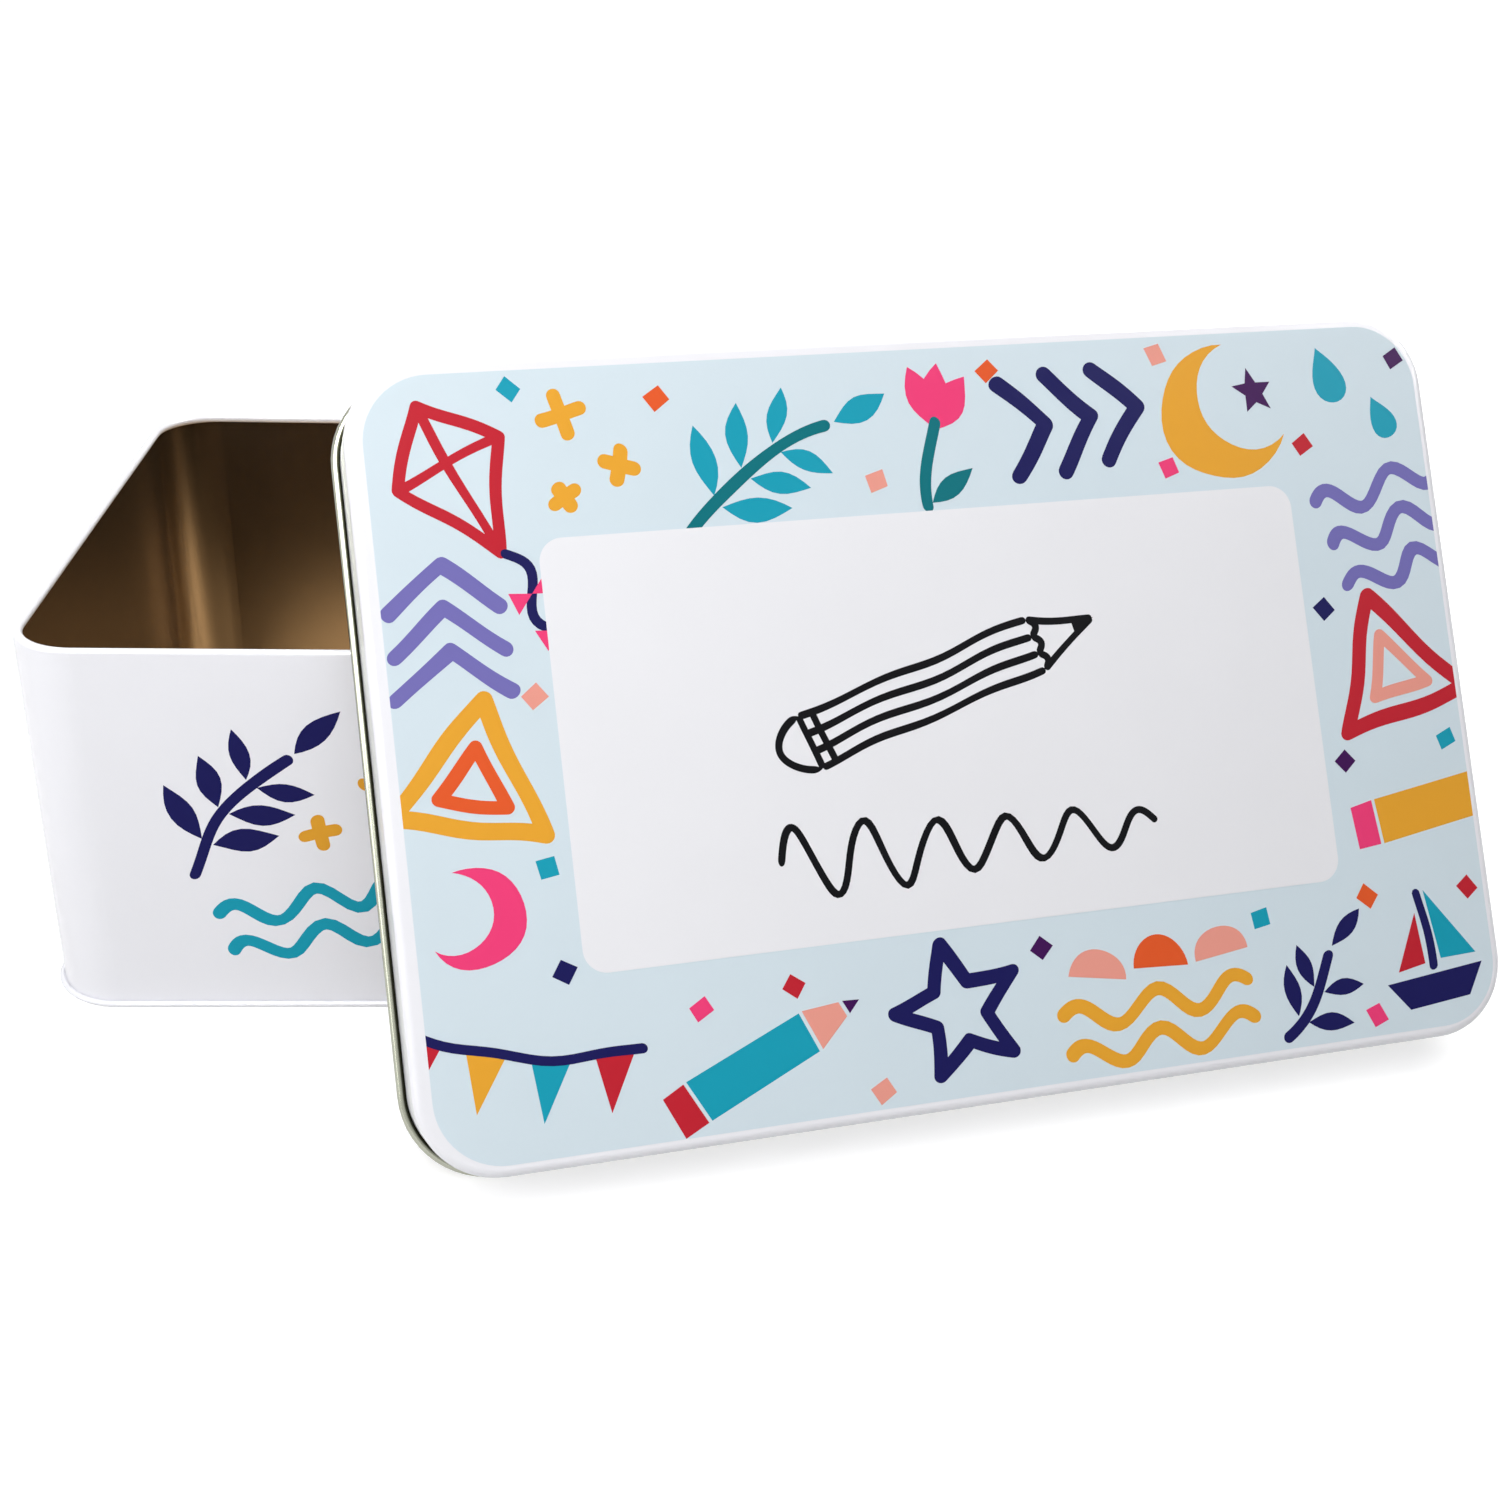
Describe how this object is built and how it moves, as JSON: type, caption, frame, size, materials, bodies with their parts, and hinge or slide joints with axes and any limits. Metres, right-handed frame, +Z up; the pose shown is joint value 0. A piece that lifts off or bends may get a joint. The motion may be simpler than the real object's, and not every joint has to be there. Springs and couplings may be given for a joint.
{
  "type": "pencil tin",
  "caption": "Rectangular slip-lid tinplate box for pencils, open, with its printed lid stood leaning on the front right corner of the body.",
  "frame": {"origin": "middle of the underside of the tin's body, on the plane that it stands on", "axes": "+X along the tin's length, -Y towards the front, where the lid leans, +Z up"},
  "size_m": [0.2643, 0.1919, 0.1206],
  "materials": {
    "body_enamel": "gloss white enamel outside, gold lacquer inside",
    "base_enamel": "gloss white enamel outside, gold lacquer inside",
    "lid_print": "satin varnish over pale blue print, gold lacquer inside and on the curled hem"
  },
  "bodies": {
    "tin": {"body_wall": "body_enamel", "base_plate": "base_enamel"},
    "lid": {"lid_shell": "lid_print"}
  },
  "joints": [
    {"name": "lid_lift", "type": "slide", "parent": "tin", "child": "lid", "axis": [0, 0, 1], "range_m": [0, 0.12]}
  ]
}
